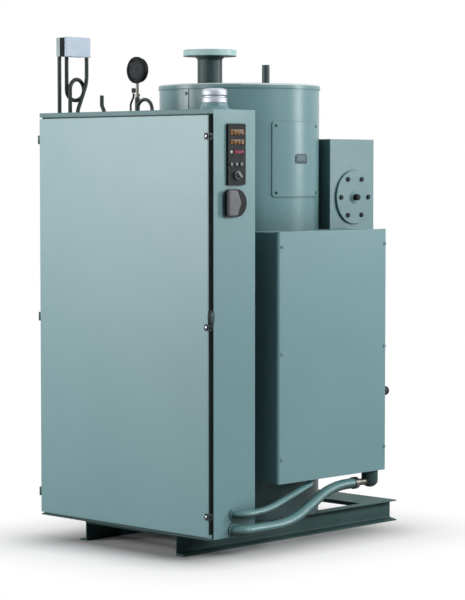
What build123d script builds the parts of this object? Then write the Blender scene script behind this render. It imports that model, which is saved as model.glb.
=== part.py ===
"""Packaged electric steam boiler: insulated vertical vessel, control cabinet and channel base.

Millimetres, +Z up, -Y towards the cabinet door. Every sub-part is drawn with the door's front
face at Y = 0 and the cabinet's middle at X = 0, then all are moved so that the middle of the
footprint on the floor is the origin.
"""
import os
from math import asin, cos, degrees, pi, radians, sin, sqrt, tan

from build123d import *

# Base frame: two rolled channels, webs inward, and flat tie plates flush with their tops
channel_height = 76.2
channel_flange = 35.8
channel_web = 4.3
flange_toe = 4.3
flange_root = 9.5
channel_gap = 440.0
channel_start = 40.0
channel_length = 1100.0
tie_width = 162.0
tie_thickness = 14.0

# Control cabinet standing on the channels
cabinet_width = 823.0
cabinet_depth = 196.0
cabinet_height = 1404.0
sheet = 2.5
front_lip = 24.0
hood_height = 15.0
sill_height = 5.0
neck_inset = 5.0
neck_width = 12.0
panel_margin = 45.0
standoff = 14.0
standoff_radius = 9.0
standoff_inset = 30.0

# Door, with the dark groove that shows between it and the cabinet
door_thickness = 3.0
door_groove = 25.0
stiffener_width = 46.0
stiffener_depth = 12.0
hinge_radius = 6.5
hinge_pin_radius = 3.0
hinge_height = 30.0
hinge_leaf = 3.0
hinge_leaf_length = 40.0
hinge_inset = 72.0
clamp_width = 22.0
clamp_sheet = 2.5
clamp_inset = 68.0
clamp_lap = 14.0
clamp_ring = 7.0
clamp_ring_bore = 5.0
clamp_ring_height = 2.5

# Insulated vessel
jacket_radius = 282.0
jacket_sheet = 3.0
lid_sheet = 3.0
lid_rim = 17.0
lid_round = 6.0
vessel_behind_cabinet = 71.0
seam_width = 22.0
seam_sheet = 1.6
seam_angle = -86.3
access_width = 237.0
access_height = 258.0
access_sheet = 3.2
access_above_box = 113.0
access_below_lid = 128.0
access_round = 9.0
access_step = 7.5

# Steam outlet: 3 inch class 150 flange with a low hub on schedule 40 pipe
flange_radius = 95.25
flange_thickness = 23.9
raised_face_radius = 63.5
raised_face = 1.6
hub_neck = 51.0
hub_flare = 5.0
hub_length = 33.0
pipe_radius = 44.45
pipe_bore = 38.95
bolt_circle = 76.2
bolt_hole_radius = 9.525
bolt_count = 4
steam_offset = -146.0
steam_height = 132.0
vent_radius = 13.35
vent_bore = 10.45
vent_offset = 128.0
vent_height = 69.0

# Element housing on the right side of the vessel
box_reach = 444.0
box_back = 230.0
box_ahead = 274.0
box_length = 556.0
box_height = 845.0
box_foot = 157.0
cover_depth = 15.0
cover_round = 9.0
housing_sheet = 2.5
plug_radius = 25.0
plug_tip = 15.0
plug_length = 54.0
plug_margin = 1.0
plug_rise = 272.0
drop_radius = 29.0
drop_height = 66.0
drop_margin = 2.0
drop_setback = 2.0
drop_round = 10.0
drop_inlet = 22.0

# Nozzle housing behind it, above the element housing
nozzle_reach = 260.0
nozzle_width = 200.0
nozzle_start = 190.0
nozzle_length = 235.0
nozzle_height = 314.0
nozzle_drop = 40.0
plate_radius = 95.25
plate_thickness = 8.0
plate_rise = 109.0
plate_back = 112.0
knob_radius = 11.0
knob_length = 18.0

# Conduits from the cabinet's side to the element housing
conduit_radius = 18.0
small_conduit = 12.5
conduit_elbow = 40.0
conduit_start = 115.0
conduit_low = 22.0
conduit_high = 76.0
conduit_sweep = 440.0
conduit_rise = 270.0
conduit_level_run = 203.0
conduit_lead = 117.0
entry_lead = 104.0
entry_margin = 17.0
entry_height = 24.0
entry_bend = 30.0
entry_sweep = 500.0
bushing = 6.0
bushing_lip = 5.0
gland_length = 62.0
gland_nut = 17.0
gland_lip = 3.0
gland_neck = 12.0

# Trim on the right side of the cabinet
strip_width = 82.0
strip_height = 200.0
strip_depth = 9.0
strip_drop = 46.0
strip_middle = 126.0
strip_round = 5.0
window_depth = 1.5
window_near = 9.0
window_far = 4.0
upper_window = 20.0
upper_drop = 28.0
lower_window = 18.0
lower_drop = 59.0
bar_window = 11.0
bar_drop = 92.0
button_radius = 6.0
button_height = 5.0
button_drop = 132.0
button_near = 13.0
button_pitch = 23.0
knob_drop = 168.0
knob_skirt = 15.0
knob_spindle = 4.0
knob_clear = 1.0
switch_size = 90.0
switch_depth = 10.0
switch_round = 10.0
switch_drop = 305.0
handle_width = 62.0
handle_height = 86.0
handle_depth = 10.0
handle_round = 6.0
handle_nose = 12.0
handle_corner = 9.0
handle_offset = 23.0
spindle_radius = 7.0
spindle_sink = 6.0

# Trim on top of the cabinet
trim_tube = 6.9
control_length = 117.0
control_width = 51.0
control_cover_depth = 5.0
control_back_depth = 18.0
control_step = 2.0
control_height = 69.0
control_lift = 196.0
control_middle = -365.5
control_shift = 7.5
post_aside = 18.0
post_back = 9.0
siphon_aside = 7.0
siphon_back = 36.0
loop_radius = 36.0
loop_lift = 83.0
loop_turn = 90.0
gauge_radius = 45.0
gauge_depth = 26.0
gauge_rim = 9.0
gauge_lift = 141.0
gauge_middle = -30.0
gauge_aside = 4.0
stem_radius = 5.5
tee_rise = 8.0
cock_rise = 32.0
drain_rise = 22.0
drain_radius = 3.6
drain_aside = 19.0
trim_row = 110.0
tube_margin = 9.0
tube_aside = 13.5
tube_lean = 42.0
tube_foot = 12.0
tube_shoulder = 108.0
tube_low_bend = 30.0
tube_high_bend = 120.0
stub_middle = -227.0
stub_offset = 10.0
stub_forward = 30.0
stub_foot = 9.0
stub_shoulder = 25.0
stub_height = 61.0
stub_bend = 12.0
arch_radius = 36.0
arch_foot = 5.0
hub_cap_radius = 41.0
hub_foot_radius = 58.0
hub_middle = 290.0
hub_row = 154.0

# Fits
seat = 0.2
running = 0.05
shut_gap = 5.0

# Derived levels and faces
floor_level = channel_height
cabinet_top = floor_level + cabinet_height
cabinet_front = door_groove
cabinet_rear = cabinet_front + cabinet_depth
half = cabinet_width / 2
door_foot = floor_level + sill_height + shut_gap
door_head = cabinet_top - hood_height - shut_gap
vessel_y = cabinet_rear + vessel_behind_cabinet + jacket_radius
box_bottom = floor_level + box_foot
box_top = box_bottom + box_height
access_foot = box_top + access_above_box
jacket_top = access_foot + access_height + access_below_lid
lid_top = jacket_top + lid_sheet
flange_top = lid_top + steam_height
cover_lap = housing_sheet + seat
box_front = vessel_y - box_ahead
box_rear = box_front + box_length
hinge_x = -half - hinge_radius - 0.5
hinge_y = hinge_radius - 0.5
strip_top = cabinet_top - strip_drop
switch_level = cabinet_top - switch_drop
spindle_y = strip_middle - handle_offset


def block(x0, x1, y0, y1, z0, z1):
    return Pos((x0 + x1) / 2, (y0 + y1) / 2, (z0 + z1) / 2) * Box(x1 - x0, y1 - y0, z1 - z0)


def rod(start, axis, radius, length):
    up_from_start = (Align.CENTER, Align.CENTER, Align.MIN)
    return Plane(origin=start, z_dir=axis) * Cylinder(radius, length, align=up_from_start)


def turned(points, start=(0, 0, 0), axis=(0, 0, 1)):
    # A profile of (radius, height) points turned about the axis through start
    outline = make_face(Polyline(*[(r, 0, h) for r, h in points], close=True))
    return Plane(origin=start, z_dir=axis) * revolve(outline, axis=Axis.Z)


def vessel_core(radius):
    return rod((0, vessel_y, 0), (0, 0, 1), radius, 2 * jacket_top)


def bent_path(points, bends):
    # Straight runs joined by tangent arcs, one radius for each inner corner
    spots = [Vector(*p) for p in points]
    edges = []
    start = spots[0]
    for before, corner, after, bend in zip(spots, spots[1:], spots[2:], bends):
        back = (before - corner).normalized()
        ahead = (after - corner).normalized()
        half_angle = radians(back.get_angle(ahead)) / 2
        reach = bend / tan(half_angle)
        first = corner + back * reach
        last = corner + ahead * reach
        middle = corner + (back + ahead).normalized() * (bend / sin(half_angle) - bend)
        edges.append(Edge.make_line(start, first))
        edges.append(Edge.make_three_point_arc(first, middle, last))
        start = last
    edges.append(Edge.make_line(start, spots[-1]))
    return Wire(edges)


def bent_tube(path, radius):
    return sweep(Plane(origin=path @ 0, z_dir=path % 0) * Circle(radius), path=path)


# Base frame


def channel(side):
    outline = Polyline(
        (0, 0),
        (channel_flange, 0),
        (channel_flange, flange_toe),
        (channel_web, flange_root),
        (channel_web, channel_height - flange_root),
        (channel_flange, channel_height - flange_toe),
        (channel_flange, channel_height),
        (0, channel_height),
        close=True,
    )
    face = make_face(outline)
    roots = face.vertices().filter_by_position(Axis.X, channel_web - 0.01, channel_web + 0.01)
    face = fillet(roots, 6.0)
    bar = extrude(Plane.XZ * face, amount=-channel_length)
    bar = Pos(channel_gap / 2, channel_start, 0) * bar
    return bar if side > 0 else mirror(bar, about=Plane.YZ)


def tie_plate(start):
    wide = channel_gap / 2
    return block(-wide, wide, start, start + tie_width, channel_height - tie_thickness, channel_height)


# Vessel


def jacket_shell():
    wall = vessel_core(jacket_radius) - vessel_core(jacket_radius - jacket_sheet)
    reach = jacket_radius + lid_sheet
    return wall & block(-reach, reach, vessel_y - reach, vessel_y + reach, floor_level, jacket_top)


def jacket_base():
    return rod((0, vessel_y, floor_level), (0, 0, 1), jacket_radius - jacket_sheet - seat, 6.0)


def jacket_lid():
    inner = jacket_radius + seat
    outer = inner + lid_sheet
    profile = [(0, jacket_top), (inner, jacket_top), (inner, lid_top - lid_rim)]
    profile += [(outer, lid_top - lid_rim), (outer, lid_top), (0, lid_top)]
    lid = turned(profile, (0, vessel_y, 0))
    lid = fillet(lid.edges().filter_by(GeomType.CIRCLE).group_by(Axis.Z)[-1], lid_round)
    lid -= rod((steam_offset, vessel_y, jacket_top - 5), (0, 0, 1), pipe_radius + seat, 20)
    return lid - rod((vent_offset, vessel_y, jacket_top - 5), (0, 0, 1), vent_radius + seat, 20)


def jacket_seam():
    inner = jacket_radius + seat
    arc = degrees(seam_width / jacket_radius)
    low = floor_level + 6
    high = lid_top - lid_rim - 1
    strip = make_face(
        Polyline(
            (inner, 0, low),
            (inner + seam_sheet, 0, low),
            (inner + seam_sheet, 0, high),
            (inner, 0, high),
            close=True,
        )
    )
    strip = revolve(strip, axis=Axis.Z, revolution_arc=arc)
    return Pos(0, vessel_y, 0) * Rot(0, 0, seam_angle - arc / 2) * strip


def access_plate():
    ring = vessel_core(jacket_radius + seat + access_sheet) - vessel_core(jacket_radius + seat)
    outline = Plane.YZ * RectangleRounded(access_width, access_height, access_round)
    level = access_foot + access_height / 2
    return ring & (Pos(0, vessel_y + access_step, level) * extrude(outline, amount=2 * jacket_radius))


def steam_nozzle():
    foot = (steam_offset, vessel_y, jacket_top - 60)
    length = flange_top - hub_length - foot[2]
    return rod(foot, (0, 0, 1), pipe_radius, length) - rod(foot, (0, 0, 1), pipe_bore, length)


def steam_flange():
    under = flange_top - flange_thickness
    profile = [(pipe_bore, flange_top - hub_length), (pipe_radius, flange_top - hub_length)]
    for step in range(5):
        turn = pi / 2 * step / 4
        profile.append((hub_neck + hub_flare * (1 - cos(turn)), under - hub_flare * (1 - sin(turn))))
    profile.append((flange_radius, under))
    profile += [(flange_radius, flange_top - raised_face - 1), (flange_radius - 1, flange_top - raised_face)]
    profile += [(raised_face_radius, flange_top - raised_face), (raised_face_radius, flange_top)]
    profile += [(pipe_bore, flange_top)]
    flange = turned(profile, (steam_offset, vessel_y, 0))
    for i in range(bolt_count):
        turn = 2 * pi * (i + 0.5) / bolt_count
        spot = (steam_offset + bolt_circle * cos(turn), vessel_y + bolt_circle * sin(turn), under - 1)
        flange -= rod(spot, (0, 0, 1), bolt_hole_radius, flange_thickness + 2)
    return flange


def vent_nozzle():
    foot = (vent_offset, vessel_y, jacket_top - 40)
    length = lid_top + vent_height - foot[2]
    return rod(foot, (0, 0, 1), vent_radius, length) - rod(foot, (0, 0, 1), vent_bore, length)


# Element housing


def element_box():
    # Sheet box, open towards its cover, with its walls scribed to the round jacket
    near, far = box_front + cover_lap, box_rear - cover_lap
    low, high = box_bottom + cover_lap, box_top - cover_lap
    end = box_reach - cover_round - seat
    wall = housing_sheet
    body = block(box_back, end, near, far, low, high)
    body -= block(box_back + wall, end, near + wall, far - wall, low + wall, high - wall)
    return body - vessel_core(jacket_radius + seat)


def element_cover():
    # Pan whose skirt laps over the box, with rolled vertical edges
    lid = block(box_reach - cover_depth, box_reach, box_front, box_rear, box_bottom, box_top)
    lid = fillet(lid.edges().filter_by(Axis.Z).group_by(Axis.X)[-1], cover_round)
    wall = housing_sheet
    space = block(
        box_reach - cover_depth,
        box_reach - wall,
        box_front + wall,
        box_rear - wall,
        box_bottom + wall,
        box_top - wall,
    )
    inner = cover_round - wall
    return lid - fillet(space.edges().filter_by(Axis.Z).group_by(Axis.X)[-1], inner)


def rear_plug():
    profile = [(0, 0), (plug_radius, 0), (plug_radius, 8), (plug_tip, plug_length - 4)]
    profile += [(plug_tip - 4, plug_length), (0, plug_length)]
    x = box_reach - cover_depth - plug_radius - plug_margin
    return turned(profile, (x, box_rear - cover_lap, box_bottom + plug_rise), (0, 1, 0))


def drop_centre():
    x = box_reach - cover_depth - drop_radius - drop_margin
    return x, box_rear - cover_lap - drop_radius - drop_setback


def drop_fitting():
    x, y = drop_centre()
    top = box_bottom + cover_lap
    body = rod((x, y, top - drop_height), (0, 0, 1), drop_radius, drop_height)
    low_edge = body.edges().filter_by(GeomType.CIRCLE).group_by(Axis.Z)[0]
    return fillet(low_edge, drop_round)


# Nozzle housing


def nozzle_housing():
    # Sheet box whose walls end on the round jacket, where it is open. It stands on the element
    # housing and steps down behind it
    near = vessel_y + nozzle_start
    far = near + nozzle_length
    left = nozzle_reach - nozzle_width
    behind = box_rear - cover_lap + seat
    low, high = box_top - cover_lap + seat, box_top + nozzle_height
    foot = box_top - nozzle_drop
    wall = housing_sheet
    body = block(left, nozzle_reach, near, far, low, high)
    body += block(left, nozzle_reach, behind, far, foot, low)
    body -= block(left + wall, nozzle_reach - wall, near + wall, far - wall, low + wall, high - wall)
    body -= block(left + wall, nozzle_reach - wall, behind + wall, far - wall, foot + wall, low + wall)
    return body - vessel_core(jacket_radius + seat)


def plate_centre():
    y = vessel_y + nozzle_start + nozzle_length - plate_back
    return nozzle_reach, y, box_top + plate_rise


def round_cover():
    profile = [(0, 0), (plate_radius, 0), (plate_radius, plate_thickness - 1.5)]
    profile += [(plate_radius - 1.5, plate_thickness), (knob_radius + 12, plate_thickness)]
    profile += [(knob_radius + 9, plate_thickness + 3), (0, plate_thickness + 3)]
    return turned(profile, plate_centre(), (1, 0, 0))


def cover_knob():
    x, y, z = plate_centre()
    base = (x + plate_thickness + 3, y, z)
    profile = [(0, 0), (knob_radius, 0), (knob_radius, knob_length - 3), (knob_radius - 3, knob_length)]
    return turned(profile + [(0, knob_length)], base, (1, 0, 0))


# Conduits


def conduit_points(lift):
    # Out of the cabinet's side through its bushing, then back along the side
    z = floor_level + lift
    return [(half, conduit_start, z), (half + conduit_elbow, conduit_start, z)]


def elbow_bend():
    return conduit_elbow - bushing - seat


def rise_end():
    return drop_centre()[1] - conduit_level_run


def drop_level():
    return box_bottom + cover_lap - drop_height + drop_inlet


def gland_start():
    return drop_centre()[1] - drop_radius - gland_length


def conduit_lower():
    x = drop_centre()[0]
    points = conduit_points(conduit_low)
    level = points[0][2]
    points.append((half + conduit_elbow, rise_end() - conduit_rise, level))
    points.append((x, rise_end(), drop_level()))
    points.append((x, gland_start(), drop_level()))
    return bent_tube(bent_path(points, [elbow_bend(), conduit_sweep, conduit_sweep]), conduit_radius)


def conduit_gland():
    # Nut and connector between the conduit and the drop fitting, scribed to the fitting
    x, y = drop_centre()
    wide = conduit_radius + gland_lip
    slim = gland_neck
    end = gland_length + drop_radius
    profile = [(0, 0), (wide, 0), (wide, gland_nut), (slim, gland_nut), (slim, end), (0, end)]
    gland = turned(profile, (x, gland_start(), drop_level()), (0, 1, 0))
    return gland - rod((x, y, 0), (0, 0, 1), drop_radius + seat, box_top)


def conduit_upper():
    points = conduit_points(conduit_high)
    level = points[0][2]
    bottom = box_bottom + cover_lap
    x = box_reach - cover_depth - small_conduit - entry_margin
    y = rise_end() - entry_lead
    points.append((half + conduit_elbow, rise_end() - conduit_rise - conduit_lead, level))
    points.append((x, y, bottom - entry_height))
    points.append((x, y, bottom))
    return bent_tube(bent_path(points, [elbow_bend(), entry_sweep, entry_bend]), small_conduit)


def conduit_bushings():
    rings = []
    for lift, radius in ((conduit_low, conduit_radius), (conduit_high, small_conduit)):
        spot = (half, conduit_start, floor_level + lift)
        ring = rod(spot, (1, 0, 0), radius + bushing_lip, bushing)
        rings.append(ring - rod(spot, (1, 0, 0), radius + seat, bushing))
    return Compound(children=rings)


# Cabinet


def side_panel(side):
    inner = half - sheet
    panel = block(inner, half, cabinet_front, cabinet_rear, floor_level, cabinet_top)
    panel += block(half - front_lip, half, cabinet_front, cabinet_front + sheet, floor_level, cabinet_top)
    return panel if side > 0 else mirror(panel, about=Plane.YZ)


def level_panel(z0, z1, lip0, lip1):
    inner = half - sheet
    panel = block(-inner, inner, cabinet_front + sheet, cabinet_rear, z0, z1)
    wide = half - front_lip
    return panel + block(-wide, wide, cabinet_front, cabinet_front + sheet, lip0, lip1)


def cabinet_roof():
    return level_panel(cabinet_top - sheet, cabinet_top, cabinet_top - front_lip, cabinet_top)


def cabinet_floor():
    return level_panel(floor_level, floor_level + sheet, floor_level, floor_level + front_lip)


def cabinet_back():
    inner = half - sheet
    return block(
        -inner,
        inner,
        cabinet_rear - sheet,
        cabinet_rear,
        floor_level + sheet,
        cabinet_top - sheet,
    )


def cabinet_hood():
    hood = block(-half, half, 0, cabinet_front, cabinet_top - sheet, cabinet_top)
    hood += block(-half, half, 0, sheet, cabinet_top - hood_height, cabinet_top)
    for side in (-half, half - sheet):
        hood += block(side, side + sheet, 0, cabinet_front, cabinet_top - hood_height, cabinet_top)
    front = hood.edges().filter_by(Axis.X).group_by(Axis.Z)[-1].group_by(Axis.Y)[0]
    return fillet(front, sheet * 0.8)


def cabinet_sill():
    return block(-half, half, 2, cabinet_front, floor_level, floor_level + sill_height)


def neck_levels():
    return floor_level + sill_height + seat, cabinet_top - neck_inset


def door_neck():
    front = door_thickness + shut_gap
    outer = half - neck_inset
    inner = outer - neck_width
    low, high = neck_levels()
    low += neck_width + seat
    high -= neck_width + seat
    sides = [
        block(-outer, -inner, front, cabinet_front, low, high),
        block(inner, outer, front, cabinet_front, low, high),
    ]
    return Compound(children=sides)


def neck_rails():
    front = door_thickness + shut_gap
    outer = half - neck_inset
    low, high = neck_levels()
    rails = [
        block(-outer, outer, front, cabinet_front, low, low + neck_width),
        block(-outer, outer, front, cabinet_front, high - neck_width, high),
    ]
    return Compound(children=rails)


def mounting_panel():
    wide = half - panel_margin
    low, high = floor_level + panel_margin, cabinet_top - panel_margin
    plate_y = cabinet_rear - sheet - standoff
    plate = block(-wide, wide, plate_y - sheet, plate_y, low, high)
    for x in (-wide + standoff_inset, wide - standoff_inset):
        for z in (low + standoff_inset, high - standoff_inset):
            plate += rod((x, plate_y, z), (0, 1, 0), standoff_radius, standoff)
    return plate


def hinge_levels():
    return door_foot + hinge_inset, (door_foot + door_head) / 2, door_head - hinge_inset


def hinge_pins():
    pins = []
    tall = hinge_height / 2 - 0.15
    for z in hinge_levels():
        low = z - hinge_height / 2
        barrel = rod((hinge_x, hinge_y, low), (0, 0, 1), hinge_radius, tall)
        far = cabinet_front + hinge_leaf_length
        leaf = block(-half - hinge_leaf, -half, hinge_y + hinge_leaf, far, low, low + tall)
        bridge = block(hinge_x, -half, hinge_y + 3, hinge_y + hinge_radius, low, low + tall)
        pin = rod((hinge_x, hinge_y, low), (0, 0, 1), hinge_pin_radius, hinge_height - 1)
        pins.append(barrel + leaf + bridge + pin)
    return Compound(children=pins)


def hinge_knuckles():
    knuckles = []
    tall = hinge_height / 2 - 0.15
    for z in hinge_levels():
        low = z + 0.15
        barrel = rod((hinge_x, hinge_y, low), (0, 0, 1), hinge_radius, tall)
        web = block(hinge_x, -half, 0, door_thickness, low, low + tall)
        bore = rod((hinge_x, hinge_y, low), (0, 0, 1), hinge_pin_radius + running, tall)
        knuckles.append(barrel + web - bore)
    return Compound(children=knuckles)


def door_panel():
    door = block(-half, half, 0, door_thickness, door_foot, door_head)
    right = door.edges().filter_by(Axis.Z).group_by(Axis.Y)[0].group_by(Axis.X)[-1]
    return fillet(right, door_thickness * 0.6)


def door_stiffeners():
    ribs = []
    for x in (-half / 2, half / 2):
        wide = stiffener_width / 2
        deep = door_thickness + stiffener_depth
        rib = block(x - wide, x + wide, door_thickness, deep, door_foot + 60, door_head - 60)
        back = rib.edges().filter_by(Axis.Z).group_by(Axis.Y)[-1]
        ribs.append(chamfer(back, stiffener_depth * 0.6))
    return Compound(children=ribs)


def clamp_levels():
    return door_foot + clamp_inset, (door_foot + door_head) / 2, door_head - clamp_inset


def door_clamps():
    clips = []
    reach = cabinet_front - shut_gap
    for z in clamp_levels():
        low, high = z - clamp_width / 2, z + clamp_width / 2
        lip = block(half - clamp_lap, half + clamp_sheet, -clamp_sheet, 0, low, high)
        leg = block(half, half + clamp_sheet, -clamp_sheet, reach, low, high)
        clip = lip + leg
        ends = clip.edges().filter_by(Axis.X).group_by(Axis.Y)[-1]
        clip = fillet(ends, clamp_width * 0.4)
        spot = (half - clamp_lap / 2, -clamp_sheet, z)
        ring = rod(spot, (0, -1, 0), clamp_ring, clamp_ring_height)
        clips.append(clip + (ring - rod(spot, (0, -1, 0), clamp_ring_bore, clamp_ring_height)))
    return Compound(children=clips)


# Trim on the cabinet's right side


def control_panel():
    outline = Plane.YZ * RectangleRounded(strip_width, strip_height, strip_round)
    middle = strip_top - strip_height / 2
    body = Pos(half, strip_middle, middle) * extrude(outline, amount=strip_depth)
    face = half + strip_depth
    near = strip_middle - strip_width / 2 + window_near
    far = strip_middle + strip_width / 2 - window_far
    windows = ((upper_drop, upper_window), (lower_drop, lower_window), (bar_drop, bar_window))
    for drop, tall in windows:
        level = strip_top - drop
        body -= block(face - window_depth, face, near, far, level - tall / 2, level + tall / 2)
    spot = (half, strip_middle, strip_top - knob_drop)
    return body - rod(spot, (1, 0, 0), knob_spindle + running, strip_depth)


def panel_buttons():
    keys = []
    first = strip_middle - strip_width / 2 + button_near
    for i in range(3):
        spot = (half + strip_depth, first + i * button_pitch, strip_top - button_drop)
        key = rod(spot, (1, 0, 0), button_radius, button_height)
        keys.append(chamfer(key.edges().group_by(Axis.X)[-1], button_height / 5))
    return Compound(children=keys)


def panel_knob():
    spot = (half + strip_depth + knob_clear, strip_middle, strip_top - knob_drop)
    skirt = turned([(0, 0), (knob_skirt, 0), (knob_skirt, 4), (knob_skirt - 2, 6), (0, 6)], spot, (1, 0, 0))
    grip = Plane(origin=(spot[0] + 4, spot[1], spot[2]), x_dir=(0, 1, 0), z_dir=(1, 0, 0))
    knob = skirt + grip * Rot(0, 0, -40) * extrude(SlotOverall(23, 9), amount=12)
    return knob + rod((spot[0] - 7, spot[1], spot[2]), (1, 0, 0), knob_spindle, 9)


def switch_base():
    # D-shaped housing: square towards the door, round behind
    wide = switch_size / 2
    low, high = switch_level - wide, switch_level + wide
    body = block(half, half + switch_depth, strip_middle - wide, strip_middle, low, high)
    body = fillet(body.edges().filter_by(Axis.X).group_by(Axis.Y)[0], switch_round)
    body += rod((half, strip_middle, switch_level), (1, 0, 0), wide, switch_depth)
    spot = (half + switch_depth - spindle_sink - seat, spindle_y, switch_level)
    return body - rod(spot, (1, 0, 0), spindle_radius + running, switch_depth)


def switch_handle():
    foot = half + switch_depth
    wide, high = handle_width / 2, handle_height / 2
    corners = [(-wide, -high), (handle_nose, -high), (wide, 0), (handle_nose, high), (-wide, high)]
    outline = Plane.YZ * fillet(Polygon(*corners, align=None).vertices(), handle_corner)
    grip = Pos(foot + shut_gap, spindle_y, switch_level) * extrude(outline, amount=handle_depth)
    grip = fillet(grip.edges().group_by(Axis.X)[-1], handle_round)
    reach = spindle_sink + shut_gap + handle_depth / 2
    return grip + rod((foot - spindle_sink, spindle_y, switch_level), (1, 0, 0), spindle_radius, reach)


# Trim on top of the cabinet


def control_near():
    return trim_row + control_shift - control_length / 2


def control_layer(x0, x1, step):
    # One layer of the pressure control, set in all round by step
    near = control_near() + step
    far = near + control_length - 2 * step
    bottom = cabinet_top + control_lift + step
    return block(x0, x1, near, far, bottom, bottom + control_height - 2 * step)


def control_back():
    left = control_middle - control_width / 2
    return control_layer(left, left + control_back_depth, control_step)


def control_case():
    left = control_middle - control_width / 2 + control_back_depth
    right = control_middle + control_width / 2 - control_cover_depth
    return control_layer(left, right, control_step)


def control_cover():
    right = control_middle + control_width / 2
    cover = control_layer(right - control_cover_depth, right, 0)
    return fillet(cover.edges().group_by(Axis.X)[-1], control_cover_depth * 0.6)


def control_post():
    spot = (control_middle - post_aside, control_near() + post_back, cabinet_top)
    return rod(spot, (0, 0, 1), trim_tube, control_lift + control_step)


def control_siphon():
    # One turn of tube: two half rings, each turned a little about the vertical so that the
    # second pass of the tube lies beside the first
    turn = radians(loop_turn)
    along = Vector(cos(turn), sin(turn), 0)
    across = Vector(-sin(turn), cos(turn), 0)
    shift = 2 * trim_tube + 4
    foot = Vector(control_middle + siphon_aside, control_near() + siphon_back, cabinet_top)
    side = foot + Vector(0, 0, loop_lift)
    far = side + along * (2 * loop_radius) + across * (shift / 2)
    back = side + across * shift
    top = (side + far) * 0.5 + Vector(0, 0, (far - side).length / 2)
    low = (back + far) * 0.5 - Vector(0, 0, (far - back).length / 2)
    head = back + Vector(0, 0, control_lift + control_step - loop_lift)
    path = Wire(
        [
            Edge.make_line(foot, side),
            Edge.make_three_point_arc(side, top, far),
            Edge.make_three_point_arc(far, low, back),
            Edge.make_line(back, head),
        ]
    )
    return bent_tube(path, trim_tube)


def control_tube():
    # Leans back from its foot and then runs straight up into the case
    far = control_near() + control_length - tube_margin
    x = control_middle + tube_aside
    top = cabinet_top + control_lift + control_step
    points = [
        (x, far - tube_lean, cabinet_top),
        (x, far - tube_lean, cabinet_top + tube_foot),
        (x, far, cabinet_top + tube_shoulder),
        (x, far, top),
    ]
    return bent_tube(bent_path(points, [tube_low_bend, tube_high_bend]), trim_tube)


def vent_stub():
    # Capped pipe stub with a small offset bend at its foot
    foot = stub_middle + stub_offset
    row = hub_row - stub_forward
    points = [
        (foot, row, cabinet_top),
        (foot, row, cabinet_top + stub_foot),
        (stub_middle, row, cabinet_top + stub_shoulder),
        (stub_middle, row, cabinet_top + stub_height),
    ]
    stub = bent_tube(bent_path(points, [stub_bend, stub_bend]), trim_tube)
    return fillet(stub.edges().group_by(Axis.Z)[-1], trim_tube * 0.4)


def gauge_case():
    # Case with a stepped rim, open in front down to the dial's level
    deep = gauge_depth
    profile = [(0, 0), (gauge_radius - 9, 0), (gauge_radius - 4, 4), (gauge_radius - 4, deep - 9)]
    profile += [(gauge_radius, deep - 9), (gauge_radius, deep - 2), (gauge_radius - 2, deep)]
    profile += [(gauge_radius - gauge_rim, deep), (gauge_radius - gauge_rim - 1, deep - 4), (0, deep - 4)]
    spot = (gauge_middle, trim_row + deep / 2, cabinet_top + gauge_lift)
    return turned(profile, spot, (0, -1, 0))


def arch_level():
    return cabinet_top + arch_foot


def gauge_siphon():
    # Leg up to a small tee, with the arch leaving it and coming down on the right
    x = gauge_middle - gauge_aside
    level = arch_level()
    far = x + 2 * arch_radius
    path = Wire(
        [
            Edge.make_line((x, trim_row, cabinet_top), (x, trim_row, level)),
            Edge.make_three_point_arc(
                (x, trim_row, level),
                (x + arch_radius, trim_row, level + arch_radius),
                (far, trim_row, level),
            ),
            Edge.make_line((far, trim_row, level), (far, trim_row, cabinet_top)),
        ]
    )
    tee = rod((x, trim_row, level), (0, 0, 1), trim_tube + 1.6, arch_radius + tee_rise)
    return bent_tube(path, trim_tube - 0.8) + tee


def gauge_stem():
    x = gauge_middle - gauge_aside
    low = arch_level() + arch_radius + tee_rise
    high = cabinet_top + gauge_lift - gauge_radius
    stem = rod((x, trim_row, low), (0, 0, 1), stem_radius, high - low + 12)
    nut = extrude(Plane.XY * RegularPolygon(9.5, 6), amount=9)
    stem += Pos(x, trim_row, low + 3) * nut
    spot = (gauge_middle, trim_row + gauge_depth / 2, cabinet_top + gauge_lift)
    case = rod(spot, (0, -1, 0), gauge_radius - 4 + seat, gauge_depth)
    rim = rod((spot[0], trim_row - gauge_depth / 2 + 9 + seat, spot[2]), (0, -1, 0), gauge_radius + seat, 20)
    return stem - case - rim


def gauge_cock():
    x = gauge_middle - gauge_aside
    level = arch_level() + arch_radius + cock_rise
    body = rod((x - stem_radius - seat, trim_row, level), (-1, 0, 0), 4.5, 9)
    plug = rod((x - drain_aside, trim_row, level - 8), (0, 0, 1), 6.5, 16)
    stem = rod((x, trim_row, 0), (0, 0, 1), stem_radius + seat, 2 * cabinet_top)
    return body + plug - stem


def gauge_drain():
    x = gauge_middle - gauge_aside - drain_aside
    level = arch_level() + arch_radius + drain_rise
    points = [
        (x, trim_row, level),
        (x, trim_row, level - 12),
        (x - 14, trim_row, level - 36),
        (x - 14, trim_row, cabinet_top),
    ]
    return bent_tube(bent_path(points, [12, 14]), drain_radius)


def hub_foot():
    profile = [(0, 0), (hub_foot_radius, 0), (hub_foot_radius, 2.5), (hub_cap_radius + 8, 6)]
    profile += [(hub_cap_radius + 3, 13), (hub_cap_radius + 1, 24), (0, 24)]
    return turned(profile, (hub_middle, hub_row, cabinet_top))


def power_hub():
    # Ribbed sealing hub with a domed blank cap
    r = hub_cap_radius
    profile = [(0, 0), (r, 0), (r + 1, 3), (r + 1, 15), (r - 1, 18), (r - 4, 19), (r - 4, 23)]
    profile += [(r - 1, 24), (r + 1, 27), (r + 1, 39), (r - 1, 44), (r - 6, 47.5), (r - 14, 49), (0, 49.5)]
    return turned(profile, (hub_middle, hub_row, cabinet_top + 24))


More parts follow.
